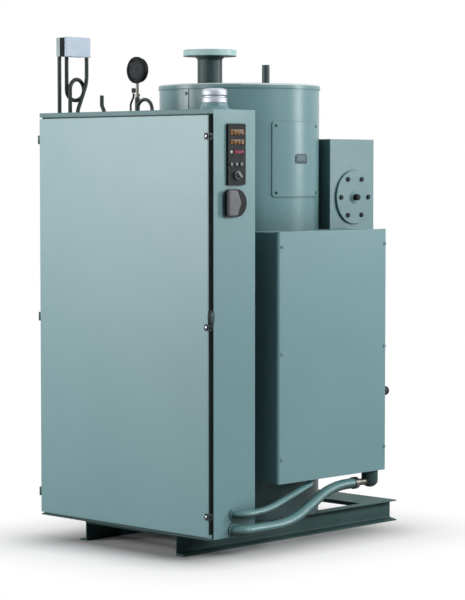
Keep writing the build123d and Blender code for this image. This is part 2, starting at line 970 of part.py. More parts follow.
def build_all():
    rear_tie = channel_start + channel_length - tie_width
    return {
        "base_channel_left": channel(-1),
        "base_channel_right": channel(1),
        "base_front_tie": tie_plate(channel_start),
        "base_rear_tie": tie_plate(rear_tie),
        "jacket_shell": jacket_shell(),
        "jacket_base": jacket_base(),
        "jacket_lid": jacket_lid(),
        "jacket_seam": jacket_seam(),
        "access_plate": access_plate(),
        "steam_nozzle": steam_nozzle(),
        "steam_flange": steam_flange(),
        "vent_nozzle": vent_nozzle(),
        "element_box": element_box(),
        "element_cover": element_cover(),
        "rear_plug": rear_plug(),
        "drop_fitting": drop_fitting(),
        "nozzle_housing": nozzle_housing(),
        "round_cover": round_cover(),
        "cover_knob": cover_knob(),
        "conduit_lower": conduit_lower(),
        "conduit_upper": conduit_upper(),
        "conduit_gland": conduit_gland(),
        "conduit_bushings": conduit_bushings(),
        "cabinet_left": side_panel(-1),
        "cabinet_right": side_panel(1),
        "cabinet_roof": cabinet_roof(),
        "cabinet_floor": cabinet_floor(),
        "cabinet_back": cabinet_back(),
        "cabinet_hood": cabinet_hood(),
        "cabinet_sill": cabinet_sill(),
        "door_neck": door_neck(),
        "neck_rails": neck_rails(),
        "mounting_panel": mounting_panel(),
        "hinge_pins": hinge_pins(),
        "hinge_knuckles": hinge_knuckles(),
        "door_panel": door_panel(),
        "door_stiffeners": door_stiffeners(),
        "door_clamps": door_clamps(),
        "control_panel": control_panel(),
        "panel_buttons": panel_buttons(),
        "panel_knob": panel_knob(),
        "switch_base": switch_base(),
        "switch_handle": switch_handle(),
        "control_back": control_back(),
        "control_case": control_case(),
        "control_cover": control_cover(),
        "control_post": control_post(),
        "control_siphon": control_siphon(),
        "control_tube": control_tube(),
        "vent_stub": vent_stub(),
        "gauge_case": gauge_case(),
        "gauge_siphon": gauge_siphon(),
        "gauge_stem": gauge_stem(),
        "gauge_cock": gauge_cock(),
        "gauge_drain": gauge_drain(),
        "hub_foot": hub_foot(),
        "power_hub": power_hub(),
    }


def main():
    os.makedirs("parts", exist_ok=True)
    pieces = build_all()
    boxes = [piece.bounding_box() for piece in pieces.values()]
    middle_x = (min(b.min.X for b in boxes) + max(b.max.X for b in boxes)) / 2
    middle_y = (min(b.min.Y for b in boxes) + max(b.max.Y for b in boxes)) / 2
    print("origin moved by", round(middle_x, 4), round(middle_y, 4))
    for name, piece in pieces.items():
        export_step(Pos(-middle_x, -middle_y, 0) * piece, f"parts/{name}.step")


main()
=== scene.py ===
import math

import bmesh
import bpy
import numpy as np
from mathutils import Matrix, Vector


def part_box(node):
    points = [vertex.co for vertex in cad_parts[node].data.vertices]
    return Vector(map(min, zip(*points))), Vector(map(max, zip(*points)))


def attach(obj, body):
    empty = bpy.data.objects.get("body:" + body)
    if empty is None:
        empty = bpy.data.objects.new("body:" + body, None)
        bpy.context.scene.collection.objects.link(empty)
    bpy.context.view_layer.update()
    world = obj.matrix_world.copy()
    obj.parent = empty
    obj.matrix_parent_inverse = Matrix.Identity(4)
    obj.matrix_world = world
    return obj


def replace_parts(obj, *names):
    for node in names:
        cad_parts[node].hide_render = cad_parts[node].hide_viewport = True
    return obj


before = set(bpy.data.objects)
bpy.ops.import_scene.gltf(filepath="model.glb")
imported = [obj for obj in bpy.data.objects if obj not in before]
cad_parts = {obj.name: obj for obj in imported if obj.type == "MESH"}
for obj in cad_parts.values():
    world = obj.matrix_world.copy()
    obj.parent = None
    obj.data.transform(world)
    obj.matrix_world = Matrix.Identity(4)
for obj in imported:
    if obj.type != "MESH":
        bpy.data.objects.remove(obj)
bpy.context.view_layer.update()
mm = 0.001
eastward, backward, upward = np.eye(3)
frontward = -backward
print("frame loaded, nodes:", len(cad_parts))


# Node materials


def addNode(tree, kind, **values):
    node = tree.nodes.new(kind)
    for key, value in values.items():
        if key in node.inputs:
            node.inputs[key].default_value = value
        else:
            setattr(node, key, value)
    return node


def noiseAt(tree, place, scale, detail=3.0, rough=0.55):
    node = addNode(tree, "ShaderNodeTexNoise", Scale=scale, Detail=detail, Roughness=rough)
    tree.links.new(place, node.inputs["Vector"])
    return node.outputs["Fac"]


def remap(tree, value, span, to=(0.0, 1.0)):
    # the value's place in one span, carried over to another and held at its ends
    node = addNode(tree, "ShaderNodeMapRange", clamp=True)
    for key, number in zip(("From Min", "From Max", "To Min", "To Max"), (*span, *to)):
        node.inputs[key].default_value = number
    tree.links.new(value, node.inputs["Value"])
    return node.outputs["Result"]


def combine(tree, operation, first, second):
    node = addNode(tree, "ShaderNodeMath", operation=operation)
    for socket, value in zip(node.inputs, (first, second)):
        if isinstance(value, (int, float)):
            socket.default_value = value
        else:
            tree.links.new(value, socket)
    return node.outputs["Value"]


def mixTones(tree, factor, first, second):
    # first and second are either colours or sockets
    node = addNode(tree, "ShaderNodeMix", data_type="RGBA")
    tree.links.new(factor, node.inputs["Factor"])
    for key, tint in (("A", first), ("B", second)):
        socket = [s for s in node.inputs if s.name == key and s.type == "RGBA"][0]
        if isinstance(tint, tuple):
            socket.default_value = tint
        else:
            tree.links.new(tint, socket)
    return [s for s in node.outputs if s.type == "RGBA"][0]


def tone(red, green, blue):
    # 0-255 screen values to linear light
    screen = np.array([red, green, blue]) / 255
    linear = np.where(screen <= 0.04045, screen / 12.92, ((screen + 0.055) / 1.055) ** 2.4)
    return (*[float(v) for v in linear], 1.0)


def bumpFrom(tree, height, strength, depth, normal=None):
    bump = addNode(tree, "ShaderNodeBump", Strength=strength, Distance=depth)
    tree.links.new(height, bump.inputs["Height"])
    if normal:
        tree.links.new(normal, bump.inputs["Normal"])
    return bump.outputs["Normal"]


def slopeOf(tree):
    # how far the face looks up: 1 is level, 0 upright and -1 faces the floor
    apart = addNode(tree, "ShaderNodeSeparateXYZ")
    tree.links.new(addNode(tree, "ShaderNodeNewGeometry").outputs["Normal"], apart.inputs["Vector"])
    return apart.outputs["Z"]


patternLimits = dict(  # where the patterns that the finishes share begin and end
    cloudSpan=(0.3, 0.7), speckSpan=(0.55, 0.8), edgeSpan=(0.35, 0.65), edgeTurn=(0.99, 0.8),
    edgeScale=55.0, edgeLeast=0.15, lowTintScale=11.0, lowTintFoot=0.0, lowTintLeast=0.3,
    underSlope=(0.25, -0.5), rimSlope=(0.1, 0.35), levelSlope=(0.99, 0.94), skySamples=8, bevelSamples=6,
)


def makeFinish(name, look):
    # clouded colour with specks, grain bump, wandering roughness and, if asked, a tone painted along the
    # edges, painted shade facing the floor, a painted highlight on a rounded rim, a darker tone below a
    # height and painted shade in the gaps
    material = bpy.data.materials.new(name)
    material.use_nodes = True
    tree = material.node_tree
    shader = tree.nodes["Principled BSDF"]
    place = addNode(tree, "ShaderNodeTexCoord").outputs["Object"]
    plain = place
    if "stretch" in look:
        mapping = addNode(tree, "ShaderNodeMapping", Scale=look["stretch"])
        tree.links.new(place, mapping.inputs["Vector"])
        place = mapping.outputs["Vector"]

    cloud = remap(tree, noiseAt(tree, place, look["cloudScale"]), patternLimits["cloudSpan"])
    colour = mixTones(tree, cloud, look["deep"], look["tone"])
    specks = noiseAt(tree, place, look["speckScale"], detail=2.0)
    speck = remap(tree, specks, patternLimits["speckSpan"], (0.0, look["speckShare"]))
    colour = mixTones(tree, speck, colour, look["speck"])
    # below a given height the colour turns to a darker tone: painted shade on the jacket, dust and painted
    # shade on the channels, and the pipes' darker green on the flange's hub
    if "lowTint" in look:
        height = addNode(tree, "ShaderNodeSeparateXYZ")
        tree.links.new(plain, height.inputs["Vector"])
        fall = look["lowTintTop"], look.get("lowTintFoot", patternLimits["lowTintFoot"])
        belowTop = remap(tree, height.outputs["Z"], fall, (0.0, look["lowTintShare"]))
        patches = noiseAt(tree, place, patternLimits["lowTintScale"])
        patchy = remap(tree, patches, patternLimits["cloudSpan"], (look.get("lowTintLeast", patternLimits["lowTintLeast"]), 1.0))
        colour = mixTones(tree, combine(tree, "MULTIPLY", belowTop, patchy), colour, look["lowTint"])

    if look.get("grimeShare"):
        # the share of open sky about the point, near things only: little of it means a gap, where the gap
        # tone is mixed in as painted shade
        reach, samples = look["grimeReach"], patternLimits["skySamples"]
        sky = addNode(tree, "ShaderNodeAmbientOcclusion", Distance=reach, samples=samples)
        closing = look["grimeFrom"], look["grimeTo"]
        shut = remap(tree, sky.outputs["AO"], closing, (0.0, look["grimeShare"]))
        colour = mixTones(tree, shut, colour, look["grime"])

    normal = None
    if look.get("edge"):
        # a small shader bevel rounds the sheet edges, and its turn from the face marks the edge
        # the edge tone is a painted highlight where it is lighter than the face, and a painted dark line on
        # the flange
        bevel = addNode(tree, "ShaderNodeBevel", Radius=look["edge"], samples=patternLimits["bevelSamples"])
        normal = bevel.outputs["Normal"]
        facing = addNode(tree, "ShaderNodeNewGeometry").outputs["Normal"]
        turn = addNode(tree, "ShaderNodeVectorMath", operation="DOT_PRODUCT")
        tree.links.new(normal, turn.inputs[0])
        tree.links.new(facing, turn.inputs[1])
        edge = remap(tree, turn.outputs["Value"], patternLimits["edgeTurn"])
        patches = noiseAt(tree, place, patternLimits["edgeScale"])
        patchy = remap(tree, patches, patternLimits["edgeSpan"], (patternLimits["edgeLeast"], look["edgeShare"]))
        colour = mixTones(tree, combine(tree, "MULTIPLY", edge, patchy), colour, look["edgeTone"])
    if "under" in look:
        # painted shade on the side that faces the floor
        below = remap(tree, slopeOf(tree), patternLimits["underSlope"], (0.0, look["underShare"]))
        colour = mixTones(tree, below, colour, look["under"])
    if "rim" in look:
        # a rounded rim is where the face turns from upright to level: neither one nor the other
        # the rim tone mixed in there is a painted highlight
        slope = slopeOf(tree)
        turned = remap(tree, slope, patternLimits["rimSlope"])
        level = remap(tree, slope, patternLimits["levelSlope"])
        colour = mixTones(tree, combine(tree, "MULTIPLY", turned, level), colour, look["rim"])
    grain = noiseAt(tree, place, look["grainScale"], detail=2.0, rough=0.5)
    normal = bumpFrom(tree, grain, look["grainStrength"], look["grainDepth"], normal)

    wander = noiseAt(tree, place, look["roughScale"])
    rough = remap(tree, wander, patternLimits["cloudSpan"], (look["smooth"], look["rough"]))
    tree.links.new(colour, shader.inputs["Base Color"])
    tree.links.new(rough, shader.inputs["Roughness"])
    tree.links.new(normal, shader.inputs["Normal"])
    shader.inputs["Metallic"].default_value = look.get("metallic", 0.0)
    shader.inputs["Specular IOR Level"].default_value = look.get("shine", 0.5)
    shader.inputs["Alpha"].default_value = look.get("alpha", 1.0)
    if "glow" in look:
        shader.inputs["Emission Color"].default_value = look["tone"]
        shader.inputs["Emission Strength"].default_value = look["glow"]
    return material


paintLook = dict(  # sea green machine enamel, sprayed
    tone=tone(121, 160, 164), deep=tone(116, 155, 159), cloudScale=2.4,
    speck=tone(102, 140, 144), speckScale=240.0, speckShare=0.25,
    grainScale=420.0, grainStrength=0.08, grainDepth=0.0006,
    roughScale=14.0, smooth=0.36, rough=0.44, shine=0.4,
    # the lighter edge tone is a painted highlight and the gap tone below is painted shade
    edge=0.0022, edgeShare=0.6, edgeTone=tone(146, 182, 183),
    grime=tone(34, 52, 52), grimeReach=0.22, grimeFrom=0.72, grimeTo=0.3, grimeShare=0.6,
)
doorPaintLook = dict(paintLook, smooth=0.37, rough=0.395, shine=0.6)  # flat glossy door
hoodPaintLook = dict(  # the same enamel, duller, and darkened as painted shade on the folded hood
    paintLook, tone=tone(104, 138, 141), deep=tone(97, 130, 133), smooth=0.42, rough=0.52, shine=0.25,
)
housingPaintLook = dict(paintLook, tone=tone(112, 147, 151), deep=tone(107, 142, 146))  # the enamel a little darker: painted shade on the housing and round cover
boxPaintLook = dict(paintLook, grimeShare=0.35)  # element housing behind its cover, with less painted shade in its gaps
jacketPaintLook = dict(  # the same enamel on rolled sheet, with more painted shade in its gaps and darkened low down as painted shade
    paintLook, smooth=0.285, rough=0.315, grimeFrom=0.8, grimeShare=0.85,
    lowTint=tone(24, 36, 36), lowTintTop=0.4, lowTintShare=1.0,
)
lidPaintLook = dict(jacketPaintLook, rim=tone(220, 231, 231))  # a painted highlight along the rim
basePaintLook = dict(  # the same enamel, thin, darkened as painted shade on the rolled channels, with dust and painted shade towards the floor
    paintLook, tone=tone(78, 110, 108), deep=tone(62, 91, 89), cloudScale=7.0,
    speck=tone(48, 72, 71), speckScale=95.0, speckShare=0.5,
    grainScale=150.0, grainStrength=0.25, smooth=0.5, rough=0.66, shine=0.15,
    edgeTone=tone(118, 152, 152), lowTint=tone(34, 46, 44), lowTintTop=0.07, lowTintShare=0.5,
)
pipePaintLook = dict(  # a darker green, brushed, on the pipework above the lid
    paintLook, tone=tone(60, 82, 84), deep=tone(48, 69, 71), cloudScale=9.0,
    speckShare=0.35, grainScale=210.0, grainStrength=0.2, shine=0.3, edgeTone=tone(104, 134, 134),
)
flangePlate = dict(thick=23.9 * mm, bandAbove=2.5 * mm, bandBelow=1.5 * mm)  # where the darker band on the hub blends
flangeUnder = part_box("steam_flange")[1][2] - flangePlate["thick"]
flangePaintLook = dict(  # much paler on the plate as painted light, with the pipes' darker green on the hub below it and a painted dark line along its edges
    paintLook, tone=tone(196, 230, 230), deep=tone(186, 221, 222), grimeShare=0.0,
    edge=0.0035, edgeShare=0.95, edgeTone=tone(48, 70, 70), lowTint=tone(40, 58, 58), lowTintShare=1.0,
    lowTintTop=flangeUnder + flangePlate["bandAbove"], lowTintFoot=flangeUnder - flangePlate["bandBelow"],
    lowTintLeast=0.85,
)
conduitLook = dict(  # smooth jacketed conduit, with painted shade on the side that faces the floor
    paintLook, tone=tone(112, 155, 156), deep=tone(102, 145, 146), cloudScale=6.0,
    smooth=0.3, rough=0.38, edge=0.0, grainScale=700.0, grimeShare=0.0,
    under=tone(26, 42, 43), underShare=0.95,
)
panelLook = dict(  # white enamelled back panel
    tone=tone(226, 228, 226), deep=tone(216, 219, 218), cloudScale=2.0,
    speck=tone(198, 200, 198), speckScale=200.0, speckShare=0.2,
    grainScale=420.0, grainStrength=0.08, grainDepth=0.0005,
    roughScale=12.0, smooth=0.32, rough=0.42,
    edge=0.0015, edgeShare=0.6, edgeTone=tone(190, 190, 188),
)
rubberLook = dict(  # black foam rubber seal
    tone=tone(20, 25, 26), deep=tone(12, 16, 17), cloudScale=18.0,
    speck=tone(36, 42, 42), speckScale=420.0, speckShare=0.4,
    grainScale=900.0, grainStrength=0.5, grainDepth=0.0006,
    roughScale=40.0, smooth=0.75, rough=0.92, shine=0.12,
)
blackPlasticLook = dict(  # moulded black housing
    tone=tone(28, 33, 36), deep=tone(20, 25, 28), cloudScale=16.0,
    speck=tone(44, 50, 54), speckScale=600.0, speckShare=0.3,
    grainScale=1400.0, grainStrength=0.3, grainDepth=0.0002,
    roughScale=50.0, smooth=0.5, rough=0.62, shine=0.2,
    edge=0.0012, edgeShare=0.5, edgeTone=tone(66, 72, 76),
)
greyPlasticLook = dict(  # moulded grey keys and knob
    tone=tone(140, 146, 150), deep=tone(124, 130, 136), cloudScale=20.0,
    speck=tone(100, 104, 110), speckScale=600.0, speckShare=0.2,
    grainScale=1400.0, grainStrength=0.3, grainDepth=0.0002,
    roughScale=50.0, smooth=0.36, rough=0.5, shine=0.35,
    edge=0.0014, edgeShare=0.5, edgeTone=tone(180, 184, 188),
)
handleLook = dict(  # disconnect handle, dark grey, with a painted highlight along its edges
    greyPlasticLook, tone=tone(112, 114, 120), deep=tone(92, 95, 102), speck=tone(66, 70, 76),
    cloudScale=32.0, edgeTone=tone(170, 172, 178), edge=0.003, edgeShare=0.8,
)
blackSteelLook = dict(  # black iron tube with a trace of green overspray
    tone=tone(40, 54, 53), deep=tone(26, 36, 36), cloudScale=22.0,
    speck=tone(62, 80, 78), speckScale=320.0, speckShare=0.35,
    grainScale=520.0, grainStrength=0.22, grainDepth=0.0005,
    roughScale=30.0, smooth=0.4, rough=0.55, shine=0.3,
    edge=0.001, edgeShare=0.5, edgeTone=tone(86, 102, 102),
)
gaugeCaseLook = dict(  # flat black
    blackSteelLook, tone=tone(17, 21, 23), deep=tone(11, 14, 16), speck=tone(30, 36, 38), shine=0.1,
    smooth=0.5, rough=0.65, edgeTone=tone(44, 50, 52),
)
darkPaintLook = dict(  # the green darkened as painted shade, on small fittings, the sill and screws
    pipePaintLook, tone=tone(52, 78, 78), deep=tone(40, 63, 63), edgeTone=tone(98, 128, 128),
)
paleLook = dict(  # pale blue grey stove enamel
    tone=tone(206, 222, 240), deep=tone(194, 212, 232), cloudScale=9.0,
    speck=tone(160, 178, 200), speckScale=380.0, speckShare=0.25,
    grainScale=620.0, grainStrength=0.12, grainDepth=0.0004,
    roughScale=24.0, smooth=0.34, rough=0.46, shine=0.35,
    edge=0.0014, edgeShare=0.6, edgeTone=tone(216, 228, 238),
)
paleBackLook = dict(  # the same enamel, greener on the back
    paleLook, tone=tone(150, 170, 172), deep=tone(134, 156, 158), edgeTone=tone(178, 196, 198),
)
caseLook = dict(  # the dark case between back and cover
    blackSteelLook, tone=tone(12, 24, 30), deep=tone(8, 17, 22), speck=tone(24, 38, 44), shine=0.05,
)
brightLook = dict(  # turned and polished aluminium, rings of fine tool marks
    tone=tone(188, 191, 200), deep=tone(166, 170, 179), cloudScale=14.0, stretch=(1.0, 1.0, 26.0),
    speck=tone(140, 142, 150), speckScale=60.0, speckShare=0.25,
    grainScale=95.0, grainStrength=0.12, grainDepth=0.0003,
    roughScale=22.0, smooth=0.48, rough=0.6, metallic=1.0,
)
brassLook = dict(  # dull nickelled brass
    tone=tone(114, 113, 107), deep=tone(90, 89, 84), cloudScale=40.0,
    speck=tone(90, 86, 76), speckScale=420.0, speckShare=0.3,
    grainScale=700.0, grainStrength=0.15, grainDepth=0.0003,
    roughScale=60.0, smooth=0.3, rough=0.46, metallic=0.8,
)
zincLook = dict(  # bright zinc on screws
    tone=tone(212, 215, 220), deep=tone(180, 184, 192), cloudScale=120.0,
    speck=tone(150, 156, 150), speckScale=700.0, speckShare=0.3,
    grainScale=900.0, grainStrength=0.12, grainDepth=0.0002,
    roughScale=140.0, smooth=0.18, rough=0.36, metallic=1.0,
)
darkBoltLook = dict(  # oil black bolts
    tone=tone(22, 29, 30), deep=tone(14, 19, 20), cloudScale=90.0,
    speck=tone(44, 52, 52), speckScale=520.0, speckShare=0.3,
    grainScale=900.0, grainStrength=0.2, grainDepth=0.0002,
    roughScale=90.0, smooth=0.45, rough=0.6, shine=0.2,
)
sealantLook = dict(  # smeared dark joint sealant
    tone=tone(52, 64, 64), deep=tone(38, 47, 48), cloudScale=60.0,
    speck=tone(82, 96, 96), speckScale=260.0, speckShare=0.3,
    grainScale=240.0, grainStrength=0.5, grainDepth=0.0012,
    roughScale=60.0, smooth=0.55, rough=0.78, shine=0.2,
)
plateLook = dict(  # bare etched plate, no marking
    tone=tone(92, 110, 115), deep=tone(80, 98, 104), cloudScale=70.0, stretch=(1.0, 14.0, 1.0),
    speck=tone(80, 98, 104), speckScale=90.0, speckShare=0.3,
    grainScale=260.0, grainStrength=0.15, grainDepth=0.0002,
    roughScale=80.0, smooth=0.4, rough=0.55, metallic=0.3, shine=0.3,
)
plateRimLook = dict(plateLook, tone=tone(70, 90, 95), deep=tone(60, 78, 84), metallic=0.1)
dialLook = dict(  # dark slate dial
    tone=tone(58, 67, 71), deep=tone(50, 59, 63), cloudScale=60.0,
    speck=tone(72, 82, 86), speckScale=800.0, speckShare=0.2,
    grainScale=1200.0, grainStrength=0.08, grainDepth=0.0002,
    roughScale=60.0, smooth=0.5, rough=0.6, shine=0.06,
)
dialMarkLook = dict(dialLook, tone=tone(104, 112, 116), deep=tone(92, 100, 104), speck=tone(84, 92, 96))
smokedLook = dict(  # smoked window over the figures
    tone=tone(44, 27, 16), deep=tone(32, 20, 12), cloudScale=60.0,
    speck=tone(60, 40, 20), speckScale=500.0, speckShare=0.3,
    grainScale=300.0, grainStrength=0.03, grainDepth=0.0002,
    roughScale=40.0, smooth=0.22, rough=0.34, shine=0.15,
)
amberLook = dict(
    smokedLook, tone=tone(184, 124, 46), deep=tone(164, 106, 36), speck=tone(200, 150, 78), glow=0.22,
)
redLook = dict(
    smokedLook, tone=tone(132, 32, 56), deep=tone(108, 22, 42), speck=tone(156, 52, 74), glow=0.12,
)
lampLook = dict(
    smokedLook, tone=tone(214, 210, 214), deep=tone(196, 192, 198), speck=tone(180, 176, 180), glow=0.2,
)
glassLook = dict(  # thin clear gauge glass, hardly seen but for a faint smear
    tone=tone(40, 46, 48), deep=tone(30, 35, 37), cloudScale=30.0,
    speck=tone(60, 66, 68), speckScale=200.0, speckShare=0.2,
    grainScale=80.0, grainStrength=0.02, grainDepth=0.0002,
    roughScale=60.0, smooth=0.06, rough=0.14, alpha=0.1, shine=0.05,
)

finishes = {
    "paint": paintLook, "doorPaint": doorPaintLook, "hoodPaint": hoodPaintLook,
    "jacketPaint": jacketPaintLook, "housingPaint": housingPaintLook, "boxPaint": boxPaintLook,
    "lidPaint": lidPaintLook, "basePaint": basePaintLook, "pipePaint": pipePaintLook,
    "flangePaint": flangePaintLook, "darkPaint": darkPaintLook, "conduit": conduitLook, "panel": panelLook,
    "rubber": rubberLook, "blackPlastic": blackPlasticLook, "greyPlastic": greyPlasticLook,
    "handle": handleLook, "blackSteel": blackSteelLook, "gaugeCase": gaugeCaseLook, "case": caseLook,
    "pale": paleLook, "paleBack": paleBackLook, "bright": brightLook, "brass": brassLook,
    "zinc": zincLook, "darkBolt": darkBoltLook, "sealant": sealantLook, "plate": plateLook,
    "plateRim": plateRimLook, "dial": dialLook, "dialMark": dialMarkLook, "smoked": smokedLook,
    "amber": amberLook, "red": redLook, "lamp": lampLook, "glass": glassLook,
}
finish = {name: makeFinish(name, look) for name, look in finishes.items()}
print("finishes made:", len(finish))

nodeFinish = {
    "doorPaint": ("door_panel",),
    "hoodPaint": ("cabinet_hood",),
    "jacketPaint": ("jacket_shell", "jacket_seam", "access_plate"),
    "lidPaint": ("jacket_lid",),
    "housingPaint": ("nozzle_housing", "round_cover"),
    "boxPaint": ("element_box",),
    "basePaint": ("base_channel_left", "base_channel_right", "base_front_tie", "base_rear_tie"),
    "pipePaint": ("steam_nozzle", "vent_nozzle"),
    "flangePaint": ("steam_flange",),
    "darkPaint": ("drop_fitting", "hinge_pins", "hinge_knuckles", "cabinet_sill"),
    "conduit": ("conduit_lower", "conduit_upper"),
    "panel": ("mounting_panel",),
    "rubber": ("door_neck",),
    "blackPlastic": ("control_panel", "switch_base", "rear_plug", "cover_knob"),
    "greyPlastic": ("panel_buttons",),
    "handle": ("switch_handle", "panel_knob"),
    "blackSteel": (
        "control_post", "control_siphon", "control_tube", "vent_stub", "gauge_siphon", "gauge_cock",
        "gauge_drain", "door_clamps",
    ),
    "gaugeCase": ("gauge_case",),
    "case": ("control_case",),
    "pale": ("control_cover",),
    "paleBack": ("control_back",),
    "bright": ("power_hub",),
    "brass": ("gauge_stem", "conduit_gland"),
}
finishOf = {node: name for name, nodes in nodeFinish.items() for node in nodes}
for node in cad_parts:
    slots = bpy.data.objects[node].data.materials
    for i in range(len(slots)):
        slots[i] = finish[finishOf.get(node, "paint")]
print("frame dressed")


# Surfaces worked out on numpy grids


def fullTurn(steps):
    # angles in equal steps once round, the start not repeated
    return np.linspace(0, 2 * np.pi, steps, endpoint=False)


def spotsAt(x, y, z):
    # points from three coordinates, where a single number stands for all of them
    return np.stack(np.broadcast_arrays(x, y, z), axis=-1)


def gridFaces(rows, columns):
    # quads between neighbours, the last column joined to the first
    row, column = np.meshgrid(np.arange(rows - 1), np.arange(columns), indexing="ij")
    beside = (column + 1) % columns
    corners = (row * columns + column, row * columns + beside, (row + 1) * columns + beside,
               (row + 1) * columns + column)
    return np.stack(corners, axis=-1).reshape(-1, 4)


def addSurface(name, grids, look, body="boiler", sharp=35.0):
    # grids is copies x rows x columns x 3: each copy is one closed skin, whose end rows are either
    # drawn to a point or the same ring
    grids = np.asarray(grids, dtype=float)
    copies, rows, columns = grids.shape[:3]
    step = np.arange(copies)[:, None, None] * rows * columns
    faces = (gridFaces(rows, columns)[None] + step).reshape(-1, 4)
    mesh = bpy.data.meshes.new(name)
    mesh.from_pydata(grids.reshape(-1, 3), [], faces)
    shape = bmesh.new()
    shape.from_mesh(mesh)
    bmesh.ops.remove_doubles(shape, verts=shape.verts, dist=1e-7)
    bmesh.ops.recalc_face_normals(shape, faces=shape.faces)
    shape.to_mesh(mesh)
    shape.free()
    mesh.shade_smooth()
    mesh.set_sharp_from_angle(angle=math.radians(sharp))
    mesh.materials.append(finish[look])
    piece = bpy.data.objects.new(name, mesh)
    bpy.context.scene.collection.objects.link(piece)
    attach(piece, body)
    return piece


def setOut(shape, spots, axes, ups=(0.0, 0.0, 1.0)):
    # one shape in its own axes, carried to each spot with its height along that spot's axis
    spots = np.atleast_2d(np.asarray(spots, dtype=float))
    axes = np.broadcast_to(np.asarray(axes, dtype=float), spots.shape)
    ups = np.broadcast_to(np.asarray(ups, dtype=float), spots.shape)
    axes = axes / np.linalg.norm(axes, axis=1, keepdims=True)
    across = np.cross(ups, axes)
    across /= np.linalg.norm(across, axis=1, keepdims=True)
    along = np.cross(axes, across)
    turned = np.stack([across, along, axes], axis=1)
    return spots[:, None, None] + np.einsum("rck,nkx->nrcx", shape, turned)


def roundShape(profile, sides=32):
    # radius and height pairs turned once about the height axis
    profile = np.asarray(profile, dtype=float)
    angle = fullTurn(sides)
    radius, height = profile[:, :1], profile[:, 1:]
    return spotsAt(radius * np.cos(angle), radius * np.sin(angle), height)


def hexHead(bolt, sides=72):
    # a round washer if there is one, then a head whose radius is the lesser of a hexagon's and a cone's
    flats, washer, washerTall = bolt["flats"], bolt.get("washer", 0.0), bolt.get("washerTall", 0.0)
    angle = fullTurn(sides)
    hexagon = flats / 2 / np.cos((angle + np.pi / 6) % (np.pi / 3) - np.pi / 6)
    corner = flats / 2 / np.cos(np.pi / 6)
    level = washerTall + bolt["tall"] * np.array([0.0, 0.72, 0.82, 0.92, 1.0, 1.0])
    cone = corner * np.array([1.01, 1.0, 0.96, 0.91, 0.84, 0.0])
    head = np.minimum(cone[:, None], hexagon)
    rows = [(np.zeros(sides), 0.0)]
    if washer:
        rows += [(np.full(sides, washer), 0.0), (np.full(sides, washer), washerTall * 0.8)]
        rows += [(np.full(sides, washer * 0.96), washerTall)]
    rows += list(zip(head, level))
    radius = np.array([r for r, _ in rows])
    height = np.array([h for _, h in rows])[:, None]
    return spotsAt(radius * np.cos(angle), radius * np.sin(angle), height)


def crossHead(screw, sides=64, dome=0.72, sideSlope=0.25, endSlope=0.3):
    # a domed head, sunk where the point lies inside either bar of a cross, with sloping slot walls
    slotWide, slotReach = screw["slotWide"], screw["slotReach"]
    share = np.concatenate([[0.0, 1.0, 1.0, 0.97], np.linspace(0.9, 0.0, 14)])
    angle = fullTurn(sides)
    x = screw["radius"] * share[:, None] * np.cos(angle)
    y = screw["radius"] * share[:, None] * np.sin(angle)
    height = screw["tall"] * np.sqrt(np.clip(1 - dome * share**2, 0, 1))[:, None] * np.ones(sides)
    height[:2] = 0.0
    near, far = np.minimum(abs(x), abs(y)), np.maximum(abs(x), abs(y))
    inBar = np.clip((slotWide / 2 - near) / (sideSlope * slotWide), 0, 1)
    sunk = inBar * np.clip((slotReach - far) / (endSlope * slotReach), 0, 1)
    sunk[:4] = 0.0
    return np.stack([x, y, height - screw["slotDeep"] * sunk], axis=-1)


def squaredOval(share, width, tall, power, columns=96):
    # an oval squared off by a low power of its cosine and sine, and drawn in by each row's share
    angle = fullTurn(columns)
    u = share[:, None] * np.sign(np.cos(angle)) * abs(np.cos(angle)) ** power * width / 2
    v = share[:, None] * np.sign(np.sin(angle)) * abs(np.sin(angle)) ** power * tall / 2
    return u, v


def slab(width, tall, thick, power=0.12):
    # a squared-off oval with a small rounded front edge
    share = np.array([0.0, 1.0, 1.0, 0.985, 0.96, 0.0])
    height = np.array([0.0, 0.0, 0.6, 0.9, 1.0, 1.0]) * thick
    return spotsAt(*squaredOval(share, width, tall, power), height[:, None])


def litBar(length, wide, thick, columns=12):
    # a bar along its own axis that narrows to a point at both ends
    along = np.array([-1.0, -0.8, 0.8, 1.0])[:, None] * length / 2
    breadth = np.array([0.0, 1.0, 1.0, 0.0])[:, None]
    angle = fullTurn(columns)
    aside = breadth * wide / 2 * np.cos(angle)
    rise = thick * (0.5 + 0.5 * breadth * np.sin(angle))
    return spotsAt(along, aside, rise)


def layBars(bar, centres, along, side, front):
    # one bar laid at each centre: its length, width and thickness along the three given axes
    axes = [np.broadcast_to(axis, centres.shape)[:, None, None] for axis in (along, side, front)]
    shifts = sum(bar[None, :, :, i:i + 1] * axis for i, axis in enumerate(axes))
    return centres[:, None, None] + shifts


def boxOf(node):
    low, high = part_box(node)
    return np.array(low), np.array(high)


# Screws, bolts and the bare plate

coverScrew = dict(
    radius=6.5 * mm, tall=3.2 * mm, slotWide=2.2 * mm, slotReach=4.4 * mm, slotDeep=1.6 * mm,
    near=17 * mm, far=11 * mm, levels=(0.060, 0.484, 0.903),
)
low, high = boxOf("element_cover")
ys = (low[1] + coverScrew["near"], high[1] - coverScrew["far"])
zs = high[2] - np.array(coverScrew["levels"]) * (high[2] - low[2])
spots = [(high[0], y, z) for y in ys for z in zs]
addSurface("coverScrews", setOut(crossHead(coverScrew), spots, eastward), "paint")

# the jacket's middle line, and the skin of the plate that follows it
low, high = boxOf("jacket_shell")
jacketMiddle = (low + high) / 2
jacketLine = np.array([jacketMiddle[0], jacketMiddle[1], 0.0])
plateSkin = boxOf("access_plate")[1][0] - jacketMiddle[0]


